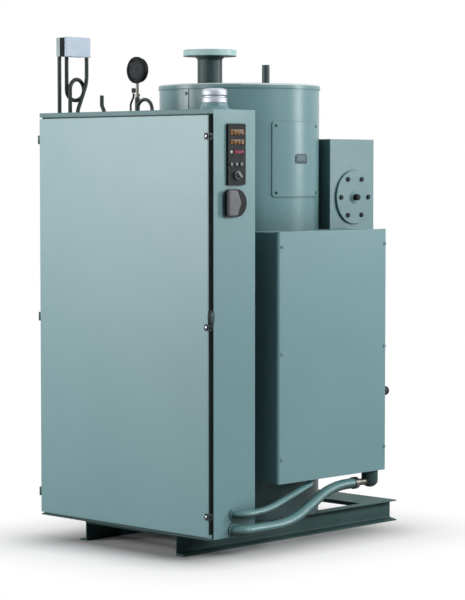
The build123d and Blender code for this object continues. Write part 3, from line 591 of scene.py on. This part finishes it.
def onJacket(turn, level, skin):
    # points on a round skin about the jacket's middle line, with their outward directions
    turn, level = np.broadcast_arrays(turn, level)
    outward = np.stack([np.cos(turn), np.sin(turn), np.zeros_like(turn)], axis=-1)
    points = jacketLine + outward * np.asarray(skin)[..., None] + level[..., None] * upward
    return points, outward


accessScrew = dict(
    radius=5.0 * mm, tall=2.6 * mm, slotWide=1.9 * mm, slotReach=3.4 * mm, slotDeep=1.3 * mm, inset=14 * mm,
)
low, high = boxOf("access_plate")
ys = np.array([low[1] + accessScrew["inset"], high[1] - accessScrew["inset"]])
zs = np.array([low[2] + accessScrew["inset"], high[2] - accessScrew["inset"]])
turn, level = np.meshgrid(np.arcsin((ys - jacketMiddle[1]) / plateSkin), zs)
spots, outward = onJacket(turn.ravel(), level.ravel(), plateSkin)
addSurface("accessScrews", setOut(crossHead(accessScrew), spots, outward), "darkPaint")

seamScrew = dict(
    flats=7.0 * mm, tall=3.6 * mm, washer=5.8 * mm, washerTall=1.0 * mm, count=11, top=16 * mm, foot=40 * mm,
)
low, high = boxOf("jacket_seam")
seamMiddle = (low + high) / 2 - jacketMiddle
seamTurn = math.atan2(seamMiddle[1], seamMiddle[0])
seamSkin = float(np.hypot(seamMiddle[0], low[1] - jacketMiddle[1]))
levels = np.linspace(low[2] + seamScrew["foot"], high[2] - seamScrew["top"], seamScrew["count"])
spots, outward = onJacket(seamTurn, levels, seamSkin)
addSurface("seamScrews", setOut(hexHead(seamScrew), spots, outward), "jacketPaint")

coverBolt = dict(flats=15 * mm, tall=5.5 * mm, circle=73 * mm, count=6, plate=8 * mm)
low, high = boxOf("round_cover")
middle = (low + high) / 2
turn, circle = fullTurn(coverBolt["count"]), coverBolt["circle"]
ys, zs = middle[1] + circle * np.cos(turn), middle[2] + circle * np.sin(turn)
spots = spotsAt(low[0] + coverBolt["plate"], ys, zs)
addSurface("coverBolts", setOut(hexHead(coverBolt), spots, eastward), "darkBolt")

clampScrew = dict(
    radius=4.6 * mm, tall=2.2 * mm, slotWide=1.6 * mm, slotReach=3.0 * mm, slotDeep=1.2 * mm,
    inset=7 * mm, sheet=2.5 * mm, halfClamp=11 * mm,
)
low, high = boxOf("door_clamps")
doorLow, doorHigh = boxOf("door_panel")
half = clampScrew["halfClamp"]
levels = np.array([low[2] + half, (low[2] + high[2]) / 2, high[2] - half])
spots = spotsAt(doorHigh[0] - clampScrew["inset"], doorLow[1] - clampScrew["sheet"], levels)
screws = setOut(crossHead(clampScrew), spots, frontward)
addSurface("clampScrews", screws, "zinc", body="door")
clampButton = dict(radius=6.5 * mm, tall=4.5 * mm, back=11.5 * mm)
outline = np.array([(0, 0), (1, 0), (1, 0.5), (0.9, 0.8), (0.6, 1), (0, 1)])
button = roundShape(outline * (clampButton["radius"], clampButton["tall"]))
spots = spotsAt(high[0], doorLow[1] + clampButton["back"], levels)
addSurface("clampButtons", setOut(button, spots, eastward), "darkBolt", body="door")

# oval catch on the door's edge, above the middle clamp
catch = dict(
    wide=25 * mm, tall=48 * mm, thick=8 * mm, power=0.8, rise=33 * mm, back=10 * mm,
    face=0.7, faceThick=1.2 * mm,
)
spot = np.array([doorHigh[0], doorLow[1] + catch["back"], levels[1] + catch["rise"]])
rimShape = slab(catch["wide"], catch["tall"], catch["thick"], catch["power"])
addSurface("catchRim", setOut(rimShape, spot, eastward), "darkBolt", body="door")
faceWide, faceTall = catch["wide"] * catch["face"], catch["tall"] * catch["face"]
faceShape = slab(faceWide, faceTall, catch["faceThick"], catch["power"])
spot = spot + catch["thick"] * eastward
addSurface("catchFace", setOut(faceShape, spot, eastward), "darkPaint", body="door")

# the drop fitting's closed end: a straight side, then a quarter oval down to its lowest point
dropEnd = dict(bulge=24 * mm, turns=14, sides=56)
low, high = boxOf("drop_fitting")
dropRadius, dropTall = (high[0] - low[0]) / 2, high[2] - low[2]
turn = np.linspace(np.pi / 2, 0, dropEnd["turns"])
oval = np.stack([dropRadius * np.cos(turn), dropEnd["bulge"] * (1 - np.sin(turn))], axis=1)
profile = np.concatenate([oval, [(dropRadius, dropTall), (0.0, dropTall)]])
spot = ((low[0] + high[0]) / 2, (low[1] + high[1]) / 2, low[2])
dropShape = setOut(roundShape(profile, dropEnd["sides"]), spot, upward, backward)
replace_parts(addSurface("dropEnd", dropShape, "darkPaint"), "drop_fitting")

barePlate = dict(
    size=(64 * mm, 34 * mm), thick=0.9 * mm, power=0.16, level=1322 * mm, turn=math.radians(2.5),
    faceShare=(0.8, 0.68), faceThick=0.4 * mm, rivetShare=(0.46, 0.42),
)


def onPlate(across, up, skin):
    # a point's place across and up the plate, wrapped on the jacket about the plate's middle
    return onJacket(barePlate["turn"] + across / plateSkin, barePlate["level"] + up, skin)


def curvedPlate(size, thick, lift):
    # a squared-off oval, swept from the back skin to the front skin and wrapped on the jacket
    share = np.array([0.0, 0.5, 1.0, 1.0, 0.985, 0.5, 0.0])
    skin = plateSkin + lift + thick * np.array([0.0, 0.0, 0.0, 0.7, 1.0, 1.0, 1.0])
    points, _ = onPlate(*squaredOval(share, *size, barePlate["power"]), skin[:, None])
    return points[None]


size, thick = np.array(barePlate["size"]), barePlate["thick"]
addSurface("blankPlateRim", curvedPlate(size, thick, 0.0), "plateRim")
addSurface("blankPlate", curvedPlate(size * barePlate["faceShare"], barePlate["faceThick"], thick), "plate")
across, up = np.meshgrid(*np.outer(size * barePlate["rivetShare"], (-1, 1)))
spots, outward = onPlate(across.ravel(), up.ravel(), plateSkin + thick)
rivet = roundShape(np.array([(0, 0), (1.8, 0), (1.6, 0.7), (0.9, 1.1), (0, 1.2)]) * mm, sides=20)
addSurface("plateRivets", setOut(rivet, spots, outward), "zinc")
print("screws, bolts and plate set")


# Beads round the pipes


def beadRing(bead, radius, middle, level, share=1.0, columns=220):
    # a half-round bead carried round a pipe, rippled along the way: the ripples crowd together and
    # spread three times round, and sway the bead a little up and down
    wide, tall, depth = share * bead["wide"], share * bead["tall"], bead["depth"]
    angle = fullTurn(columns)
    around = np.linspace(0, np.pi, 9)[:, None]
    beats = bead["ripples"] * angle
    ripple = 1 + depth * np.sin(beats + 1.2 * np.sin(3 * angle)) * np.sin(around)
    skin = radius - bead["sunk"] + tall * np.sin(around) * ripple
    height = level - wide / 2 * np.cos(around) + 0.2 * wide * depth * np.sin(beats)
    ring = spotsAt(middle[0] + skin * np.cos(angle), middle[1] + skin * np.sin(angle), height)
    return np.concatenate([ring, ring[:1]], axis=0)[None]


weld = dict(wide=7 * mm, tall=1.0 * mm, ripples=64, depth=0.3, sunk=0.3 * mm)
sealant = dict(
    wide=9 * mm, tall=5 * mm, ripples=23, depth=0.12, sunk=0.3 * mm, lift=2.5 * mm, ventShare=0.8,
)
lidTop = boxOf("jacket_lid")[1][2]
low, high = boxOf("steam_nozzle")
pipeMiddle, pipeRadius = (low + high) / 2, (high[0] - low[0]) / 2
addSurface("flangeWeld", beadRing(weld, pipeRadius, pipeMiddle, high[2]), "pipePaint", sharp=80)
bead = beadRing(sealant, pipeRadius, pipeMiddle, lidTop + sealant["lift"])
addSurface("pipeSealant", bead, "sealant", sharp=80)
low, high = boxOf("vent_nozzle")
ventMiddle, ventRadius = (low + high) / 2, (high[0] - low[0]) / 2
share = sealant["ventShare"]
bead = beadRing(sealant, ventRadius, ventMiddle, lidTop + share * sealant["lift"], share)
addSurface("ventSealant", bead, "sealant", sharp=80)
print("beads laid")


# Displays on the control strip

strip = dict(
    near=9 * mm, far=4 * mm, recess=1.5 * mm, play=1 * mm, paneThick=0.8 * mm,
    drops=(28 * mm, 59 * mm, 92 * mm), talls=(20 * mm, 18 * mm, 11 * mm),
)
low, high = boxOf("control_panel")
windowNear, windowFar = low[1] + strip["near"], high[1] - strip["far"]
windowFloor = high[0] - strip["recess"]
windowMiddle = (windowNear + windowFar) / 2
windowWide = windowFar - windowNear - strip["play"]
for i in range(2):  # the two windows with figures
    pane = slab(windowWide, strip["talls"][i] - strip["play"], strip["paneThick"])
    spot = (windowFloor, windowMiddle, high[2] - strip["drops"][i])
    addSurface("displayPane%d" % (i + 1), setOut(pane, spot, eastward), "smoked")

segmentsOf = {
    "0": "abcdef", "1": "bc", "2": "abged", "3": "abgcd", "4": "fgbc",
    "5": "afgcd", "6": "afgedc", "7": "abc", "8": "abcdefg", "9": "abcdfg",
}
segmentPlace = {  # across, up, and 1 for an upright bar
    "a": (0, 2, 0), "g": (0, 0, 0), "d": (0, -2, 0),
    "f": (-1, 1, 1), "b": (1, 1, 1), "e": (-1, -1, 1), "c": (1, -1, 1),
}


def segmentBars(text, tall, pitch, narrow):
    # centre and direction of each lit bar: a digit is two stacked squares of bars
    half = tall / 4
    bars = [(k, *segmentPlace[bar]) for k, digit in enumerate(text) for bar in segmentsOf[digit]]
    index, x, y, upright = np.array(bars, dtype=float).T
    across = (index - (len(text) - 1) / 2) * pitch + x * half * narrow
    return across, y * half, upright[:, None] > 0


figures = dict(
    texts=("0865", "0850"), share=0.72, pitch=16.8 * mm, narrow=0.95,
    barShare=0.9, wide=2.3 * mm, thick=0.5 * mm, lift=0.7 * mm,
)
bars = []
for i, text in enumerate(figures["texts"]):
    tall = strip["talls"][i] * figures["share"]
    across, up, upright = segmentBars(text, tall, figures["pitch"], figures["narrow"])
    bar = litBar(tall / 2 * figures["barShare"], figures["wide"], figures["thick"])
    level = high[2] - strip["drops"][i]
    centres = spotsAt(windowFloor + figures["lift"], windowMiddle + across, level + up)
    along = np.where(upright, upward, backward)
    side = np.where(upright, backward, upward)
    bars.append(layBars(bar, centres, along, side, eastward))
addSurface("displayFigures", np.concatenate(bars), "amber")

state = dict(barShare=0.74, barThick=1.3 * mm, barPower=0.3, lampNear=6.5 * mm)
barLevel, barWide = high[2] - strip["drops"][2], windowWide * state["barShare"]
stateBar = slab(barWide, strip["talls"][2] - strip["play"], state["barThick"], state["barPower"])
spot = (windowFloor, windowFar - (barWide + strip["play"]) / 2, barLevel)
addSurface("stateBar", setOut(stateBar, spot, eastward), "red")
lampShape = np.array([(0, 0), (5.2, 0), (5.2, 0.8), (4.4, 1.9), (2.6, 2.8), (0, 3.2)]) * mm
spot = (windowFloor, windowNear + state["lampNear"], barLevel)
addSurface("stateLamp", setOut(roundShape(lampShape), spot, eastward), "lamp")

# pointer line along the selector's grip, in the glowing lamp finish: it glows as painted light
knobLine = dict(turn=math.radians(-40), length=17 * mm, wide=1.8 * mm, thick=0.6 * mm, sunk=0.2 * mm)
low, high = boxOf("panel_knob")
along = np.array([0.0, math.cos(knobLine["turn"]), math.sin(knobLine["turn"])])
side = np.array([0.0, -math.sin(knobLine["turn"]), math.cos(knobLine["turn"])])
centre = np.array([[high[0] - knobLine["sunk"], (low[1] + high[1]) / 2, (low[2] + high[2]) / 2]])
bar = litBar(knobLine["length"], knobLine["wide"], knobLine["thick"])
rib = layBars(bar, centre, along, side, eastward)
addSurface("knobLine", rib, "lamp", body="selector")
print("displays lit")


# Gauge face

gauge = dict(
    dialRadius=34.8 * mm, faceRadius=28.5 * mm, recess=4 * mm, sides=72,
    ticks=51, major=5, start=225.0, sweep=270.0, shown=0.42,
    tickLong=(3 * mm, 5 * mm), tickWide=(0.6 * mm, 1.1 * mm), tickThick=0.15 * mm,
    tickInset=0.8 * mm, tickLift=0.45 * mm,
    needleLift=1.6 * mm, needleFlat=0.25, bossLift=0.4 * mm, glassLift=3.2 * mm, glassOver=0.6 * mm,
)
low, high = boxOf("gauge_case")
dialMiddle = np.array([(low[0] + high[0]) / 2, low[1] + gauge["recess"], (low[2] + high[2]) / 2])
dial, face, over = gauge["dialRadius"], gauge["faceRadius"], gauge["dialRadius"] + gauge["glassOver"]


def onDial(outline, lift=0.0, sides=gauge["sides"]):
    # a round shape from its outline, set that far in front of the dial's middle
    return setOut(roundShape(outline, sides), dialMiddle + lift * frontward, frontward)


def dialAxes(degrees):
    # the directions outward and to the side at each angle round the dial
    turn = np.radians(degrees)
    return spotsAt(np.cos(turn), 0.0, np.sin(turn)), spotsAt(-np.sin(turn), 0.0, np.cos(turn))


dialDisc = onDial([(0, 0), (dial, 0), (dial, 0.4 * mm), (0, 0.5 * mm)])
addSurface("gaugeDial", dialDisc, "gaugeCase")
faceDisc = onDial([(0, 0.3 * mm), (face, 0.3 * mm), (face, 0.7 * mm), (0, 0.8 * mm)])
addSurface("gaugeFace", faceDisc, "dial")

isMajor = np.arange(gauge["ticks"]) % gauge["major"] == 0
tickLong, tickWide = [np.where(isMajor, *gauge[key][::-1])[:, None] for key in ("tickLong", "tickWide")]
outward, aside = dialAxes(gauge["start"] - np.linspace(0, gauge["sweep"], gauge["ticks"]))
centres = dialMiddle + outward * (dial - gauge["tickInset"] - tickLong / 2) + gauge["tickLift"] * frontward
tick = litBar(1.0, 1.0, 1.0)
marks = layBars(tick, centres, outward * tickLong, aside * tickWide, gauge["tickThick"] * frontward)
addSurface("gaugeMarks", marks, "dialMark")

# the pointer is a flat oval section whose width changes along its length
outward, aside = dialAxes(gauge["start"] - gauge["sweep"] * gauge["shown"])
along = np.array([-10, -9, 0, 26, 27])[:, None] * mm
breadth = np.array([0.0, 2.6, 2.0, 0.6, 0.0])[:, None] * mm
angle = fullTurn(12)
shape = spotsAt(along, breadth * np.cos(angle), gauge["needleFlat"] * breadth * np.sin(angle))
centre = (dialMiddle + gauge["needleLift"] * frontward)[None]
addSurface("gaugeNeedle", layBars(shape, centre, outward, aside, frontward), "dialMark")
boss = np.array([(0, 0), (4, 0), (4, 1.8), (3, 2.6), (0, 2.8)]) * mm
addSurface("gaugeBoss", onDial(boss, gauge["bossLift"], sides=28), "darkBolt")
lens = [(0, 0), (over, 0), (over, 0.4 * mm), (dial * 0.6, 0.6 * mm), (0, 0.7 * mm)]
addSurface("gaugeGlass", onDial(lens, gauge["glassLift"]), "glass")
print("gauge fitted")


# Floor, light and camera

studio = dict(
    reach=60.0, lines=24, seenTone=0.6, bounceTone=0.45, rough=0.9, mirror=0.3,
    footprint=dict(X=(0.0, 0.27), Y=(-0.12, 0.42)), glow=0.38, glowTo=0.26, fadeTo=0.58,
    ambient=0.02, ambientTint=(0.93, 0.97, 1.0, 1.0),
)
# a level grid of squares
lines = studio["lines"]
along = np.linspace(-studio["reach"], studio["reach"], lines)
floorPoints = spotsAt(*np.meshgrid(along, along), 0.0).reshape(-1, 3)
row, column = np.meshgrid(np.arange(lines - 1), np.arange(lines - 1), indexing="ij")
corner = row * lines + column
floorFaces = np.stack([corner, corner + 1, corner + lines + 1, corner + lines], axis=-1).reshape(-1, 4)
floorMesh = bpy.data.meshes.new("studioFloor")
floorMesh.from_pydata(floorPoints, [], floorFaces)
floor = bpy.data.objects.new("studioFloor", floorMesh)
bpy.context.scene.collection.objects.link(floor)


def seenDirectly(tree, mirrored):
    # 1 for camera and see-through rays and the given share for mirror rays, so the white lights nothing
    path = addNode(tree, "ShaderNodeLightPath")
    seen = combine(tree, "MAXIMUM", path.outputs["Is Camera Ray"], path.outputs["Is Transmission Ray"])
    glossy = combine(tree, "MULTIPLY", path.outputs["Is Glossy Ray"], mirrored)
    return combine(tree, "MAXIMUM", seen, glossy)


def grey(level):
    return (level, level, level, 1.0)


# the floor is white away from the object and shows its shadow near it
floorPaint = bpy.data.materials.new("studioFloor")
floorPaint.use_nodes = True
tree = floorPaint.node_tree
seen = seenDirectly(tree, studio["mirror"])
shader = tree.nodes["Principled BSDF"]
shader.inputs["Roughness"].default_value = studio["rough"]
shader.inputs["Specular IOR Level"].default_value = 0.0
floorTone = mixTones(tree, seen, grey(studio["bounceTone"]), grey(studio["seenTone"]))
tree.links.new(floorTone, shader.inputs["Base Color"])
apart = addNode(tree, "ShaderNodeSeparateXYZ")
tree.links.new(addNode(tree, "ShaderNodeTexCoord").outputs["Object"], apart.inputs["Vector"])
# how far a point lies outside the footprint: the root of both overhangs squared and added
outside = []
for axis, (centre, half) in studio["footprint"].items():
    offset = combine(tree, "SUBTRACT", apart.outputs[axis], centre)
    reach = combine(tree, "SUBTRACT", combine(tree, "ABSOLUTE", offset, 0.0), half)
    outside.append(combine(tree, "POWER", combine(tree, "MAXIMUM", reach, 0.0), 2.0))
gap = combine(tree, "POWER", combine(tree, "ADD", *outside), 0.5)
glow = addNode(tree, "ShaderNodeEmission")
tree.links.new(remap(tree, gap, (0.0, studio["glowTo"]), (0.0, studio["glow"])), glow.inputs["Strength"])
lit = addNode(tree, "ShaderNodeAddShader")
tree.links.new(shader.outputs["BSDF"], lit.inputs[0])
tree.links.new(glow.outputs["Emission"], lit.inputs[1])
fade = remap(tree, gap, (0.0, studio["fadeTo"]))
fade.node.interpolation_type = "SMOOTHSTEP"
white = addNode(tree, "ShaderNodeEmission", Strength=1.0)
shown = addNode(tree, "ShaderNodeMixShader")
tree.links.new(fade, shown.inputs["Fac"])
tree.links.new(lit.outputs["Shader"], shown.inputs[1])
tree.links.new(white.outputs["Emission"], shown.inputs[2])
pick = addNode(tree, "ShaderNodeMixShader")
tree.links.new(seen, pick.inputs["Fac"])
tree.links.new(shader.outputs["BSDF"], pick.inputs[1])
tree.links.new(shown.outputs["Shader"], pick.inputs[2])
tree.links.new(pick.outputs["Shader"], tree.nodes["Material Output"].inputs["Surface"])
floorMesh.materials.append(floorPaint)

world = bpy.data.worlds.new("studio")
bpy.context.scene.world = world
world.use_nodes = True
tree = world.node_tree
ambient = tree.nodes["Background"]
ambient.inputs["Color"].default_value = studio["ambientTint"]
ambient.inputs["Strength"].default_value = studio["ambient"]
white = addNode(tree, "ShaderNodeBackground", Color=grey(1.0), Strength=1.0)
pick = addNode(tree, "ShaderNodeMixShader")
tree.links.new(seenDirectly(tree, 1.0), pick.inputs["Fac"])
tree.links.new(ambient.outputs["Background"], pick.inputs[1])
tree.links.new(white.outputs["Background"], pick.inputs[2])
tree.links.new(pick.outputs["Shader"], tree.nodes["World Output"].inputs["Surface"])

lamps = {
    "frontLamp": dict(place=(-3.8, -5.2, 2.1), aim=(-0.1, -0.5, 1.0), size=(2.6, 2.8), power=230.0),
    "keyLamp": dict(place=(-0.6, -5.2, 1.9), aim=(-0.1, -0.5, 0.9), size=(1.6, 1.6), power=50.0),
    "rimLamp": dict(place=(4.9, 5.1, 2.5), aim=(0.3, 0.0, 0.9), size=(0.6, 2.2), power=185.0),
    "sideLamp": dict(place=(6.2, 1.2, 3.6), aim=(0.3, 0.0, 0.8), size=(2.0, 2.0), power=206.0),
    "topLamp": dict(place=(0.6, 0.2, 6.0), aim=(0.0, 0.0, 0.5), size=(4.0, 4.0), power=50.0),
}


def aimed(place, aim):
    # tilt from straight down and swing about the upright, from the line that runs back from the aim
    back = np.array(place) - np.array(aim)
    back = back / np.linalg.norm(back)
    return math.acos(back[2]), 0.0, math.atan2(back[0], -back[1])


for name, lamp in lamps.items():
    light = bpy.data.lights.new(name, "AREA")
    light.shape = "RECTANGLE"
    light.size, light.size_y = lamp["size"]
    light.energy = lamp["power"]
    hung = bpy.data.objects.new(name, light)
    hung.location = lamp["place"]
    hung.rotation_euler = aimed(lamp["place"], lamp["aim"])
    bpy.context.scene.collection.objects.link(hung)

photoCamera = dict(
    place=(5.49062, -5.72782, 1.27909), swing=44.046, dip=3.282,
    focalPixels=2244.8, tallPixels=600, sensor=36.0, sight=200.0,
)
camera = bpy.data.cameras.new("photoCamera")
camera.sensor_width = photoCamera["sensor"]
camera.lens = photoCamera["focalPixels"] / photoCamera["tallPixels"] * camera.sensor_width
camera.clip_end = photoCamera["sight"]
eye = bpy.data.objects.new("photoCamera", camera)
eye.location = photoCamera["place"]
eye.rotation_euler = (math.radians(90 - photoCamera["dip"]), 0.0, math.radians(photoCamera["swing"]))
bpy.context.scene.collection.objects.link(eye)
bpy.context.scene.camera = eye
bpy.context.scene.view_settings.view_transform = "Standard"
print("studio set")

bpy.context.view_layer.update()
